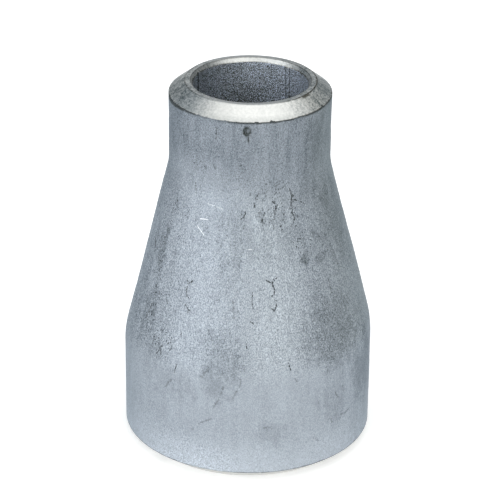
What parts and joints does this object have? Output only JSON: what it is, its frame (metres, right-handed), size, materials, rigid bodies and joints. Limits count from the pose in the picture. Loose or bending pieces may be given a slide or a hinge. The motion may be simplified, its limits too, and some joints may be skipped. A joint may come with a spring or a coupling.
{
  "type": "concentric pipe reducer",
  "caption": "Butt-weld steel reducer: a straight large end, a cone and a straight small end in one tapered tube, with both ends bevelled for welding.",
  "frame": {"origin": "centre of the large end, on the plane of its root face", "axes": "+Z along the bore, from the large end to the small end"},
  "size_m": [0.0334, 0.0334, 0.051],
  "materials": {
    "steel": "matt blasted and pickled, with bright machined bevels"
  },
  "bodies": {
    "root": {"reducer": "steel"}
  },
  "joints": []
}
